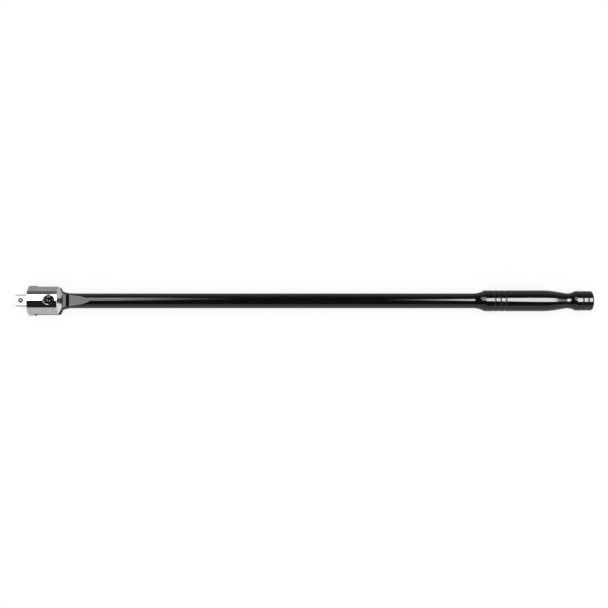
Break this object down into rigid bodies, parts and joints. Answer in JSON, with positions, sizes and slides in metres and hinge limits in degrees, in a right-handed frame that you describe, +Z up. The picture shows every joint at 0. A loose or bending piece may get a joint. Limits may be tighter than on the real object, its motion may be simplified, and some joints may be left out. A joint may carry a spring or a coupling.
{
  "type": "breaker bar",
  "caption": "Long breaker bar with a turned grip, a swivelling slotted drive head and a half-inch square drive with ball detent.",
  "frame": {"origin": "middle of the overall length, under the bar's centre line, level with the lowest point of the drive head", "axes": "+X along the bar from the square drive to the grip's end, +Z up along the pivot screw, out of its socket head"},
  "size_m": [0.635, 0.0332, 0.0333],
  "materials": {
    "black_enamel": "gloss black",
    "polished_chrome": "polished",
    "black_oxide": "satin black oxide",
    "bearing_steel": "polished",
    "spring_steel": "drawn wire"
  },
  "bodies": {
    "handle": {"handle_bar": "black_enamel"},
    "head": {"drive_head": "polished_chrome", "pivot_screw": "black_oxide", "detent_spring": "spring_steel", "friction_spring": "spring_steel"},
    "detent_ball": {"detent_ball": "bearing_steel"},
    "friction_ball": {"friction_ball": "bearing_steel"}
  },
  "joints": [
    {"name": "head_swivel", "type": "hinge", "parent": "handle", "child": "head", "pos_m": [-0.2784, 0, 0.01665], "axis": [0, 0, 1], "range_deg": [-110, 110]},
    {"name": "detent_press", "type": "slide", "parent": "head", "child": "detent_ball", "axis": [0, 0, -1], "range_m": [0, 0.00086], "stiffness_N_per_m": 2500, "springref_m": -0.001, "deforming": ["detent_spring"]},
    {"name": "friction_press", "type": "slide", "parent": "head", "child": "friction_ball", "axis": [-1, 0, 0], "range_m": [0, 0.0008], "stiffness_N_per_m": 2500, "springref_m": -0.001, "deforming": ["friction_spring"]}
  ]
}
